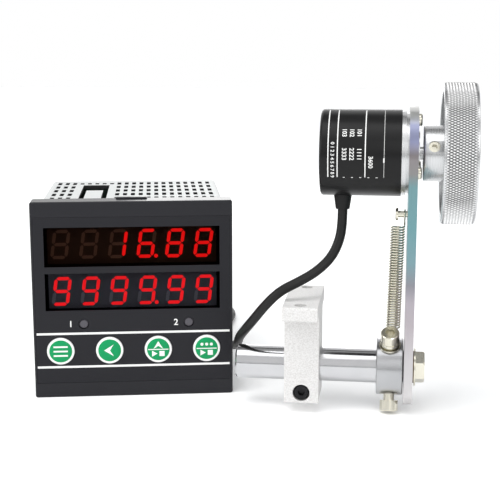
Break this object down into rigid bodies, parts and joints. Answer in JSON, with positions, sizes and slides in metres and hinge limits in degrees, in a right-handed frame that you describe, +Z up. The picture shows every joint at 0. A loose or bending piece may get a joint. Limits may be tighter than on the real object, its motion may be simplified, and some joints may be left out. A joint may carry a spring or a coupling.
{
  "type": "electronic length counter",
  "caption": "Panel counter with digit displays and keys, wired to a measuring wheel and rotary encoder on a sprung arm, with a rod and clamp block to mount it.",
  "frame": {"origin": "on the floor, under the middle of the bounding box of the object without its cable", "axes": "+X along the rod and the wheel's axle towards the wheel, +Y towards the counter's rear, +Z up"},
  "size_m": [0.2238, 0.2261, 0.1529],
  "materials": {
    "frame_plastic": "fine matt charcoal",
    "overlay_film": "matt printed film",
    "window_plastic": "smoked clear plastic",
    "digit_plastic": "dark block with lit red segments",
    "key_green": "green with a white ring",
    "switch_black": "black moulded plastic",
    "lamp_lens": "unlit lens",
    "circuit_board": "green solder mask",
    "case_plastic": "light grey matt",
    "terminal_plastic": "black moulded plastic",
    "zinc_steel": "zinc plated",
    "transformer_core": "varnished laminations and tape",
    "relay_plastic": "blue moulded cover",
    "can_sleeve": "sleeved can",
    "chip_plastic": "moulded epoxy",
    "ground_steel": "turned and ground",
    "black_steel": "black oxide",
    "cast_aluminium": "bead blasted, anodised",
    "turned_aluminium": "turned",
    "bearing_bronze": "plain",
    "bearing_steel": "polished",
    "spring_wire": "drawn wire",
    "cover_black": "black satin",
    "disc_metal": "etched",
    "black_rubber": "soft black",
    "cable_jacket": "black jacket",
    "tie_plastic": "black strap",
    "wire_colours": "coloured insulation"
  },
  "bodies": {
    "base": {"front_bezel": "frame_plastic", "front_overlay": "overlay_film", "upper_window": "window_plastic", "lower_window": "window_plastic", "count_display": "digit_plastic", "preset_display": "digit_plastic", "key_switches": "switch_black", "board_headers": "switch_black", "indicator_lamps": "lamp_lens", "display_board": "circuit_board", "terminal_board": "circuit_board", "main_board": "circuit_board", "case_shell": "case_plastic", "rear_panel": "case_plastic", "terminal_strips": "terminal_plastic", "terminal_screws": "zinc_steel", "pivot_washer": "zinc_steel", "collar_washers": "zinc_steel", "transformer": "transformer_core", "output_relays": "relay_plastic", "capacitors": "can_sleeve", "controller_chip": "chip_plastic", "support_rod": "ground_steel", "tension_collar": "ground_steel", "pivot_bolt": "ground_steel", "collar_screws": "black_steel", "pivot_bush": "bearing_bronze", "tension_spring": "spring_wire", "cable_upper": "cable_jacket", "cable_lower": "cable_jacket", "cable_coil": "cable_jacket", "cable_tail": "cable_jacket", "cable_sleeve": "cable_jacket", "cable_tie": "tie_plastic", "lead_wires": "wire_colours"},
    "arm": {"arm_plate": "cast_aluminium", "hook_screw": "zinc_steel", "encoder_flange": "turned_aluminium", "encoder_cover": "cover_black", "cable_gland": "black_rubber", "flange_screws": "zinc_steel", "encoder_bearings": "bearing_steel", "encoder_board": "circuit_board", "reader_head": "chip_plastic"},
    "wheel": {"measuring_wheel": "turned_aluminium", "hub_set_screws": "black_steel", "encoder_shaft": "ground_steel", "code_disc": "disc_metal", "disc_hub": "turned_aluminium"},
    "clamp": {"clamp_block": "cast_aluminium", "clamp_screw": "black_steel"},
    "set_key": {"key_set": "key_green"},
    "shift_key": {"key_shift": "key_green"},
    "up_key": {"key_up": "key_green"},
    "reset_key": {"key_reset": "key_green"}
  },
  "joints": [
    {"name": "arm_swing", "type": "hinge", "parent": "base", "child": "arm", "pos_m": [0.08439, -0.04233, 0.0211], "axis": [1, 0, 0], "range_deg": [-35, 10], "stiffness_Nm_per_rad": 1.2, "deforming": ["tension_spring", "cable_upper"]},
    {"name": "wheel_turn", "type": "hinge", "parent": "arm", "child": "wheel", "pos_m": [0.09239, -0.04233, 0.1211], "axis": [1, 0, 0], "continuous": true},
    {"name": "clamp_slide", "type": "slide", "parent": "base", "child": "clamp", "axis": [1, 0, 0], "range_m": [0, 0.022]},
    {"name": "key_set_press", "type": "slide", "parent": "base", "child": "set_key", "axis": [-0.2079, 0.9781, 0], "range_m": [0, 0.00045], "stiffness_N_per_m": 400},
    {"name": "key_shift_press", "type": "slide", "parent": "base", "child": "shift_key", "axis": [-0.2079, 0.9781, 0], "range_m": [0, 0.00045], "stiffness_N_per_m": 400},
    {"name": "key_up_press", "type": "slide", "parent": "base", "child": "up_key", "axis": [-0.2079, 0.9781, 0], "range_m": [0, 0.00045], "stiffness_N_per_m": 400},
    {"name": "key_reset_press", "type": "slide", "parent": "base", "child": "reset_key", "axis": [-0.2079, 0.9781, 0], "range_m": [0, 0.00045], "stiffness_N_per_m": 400}
  ]
}
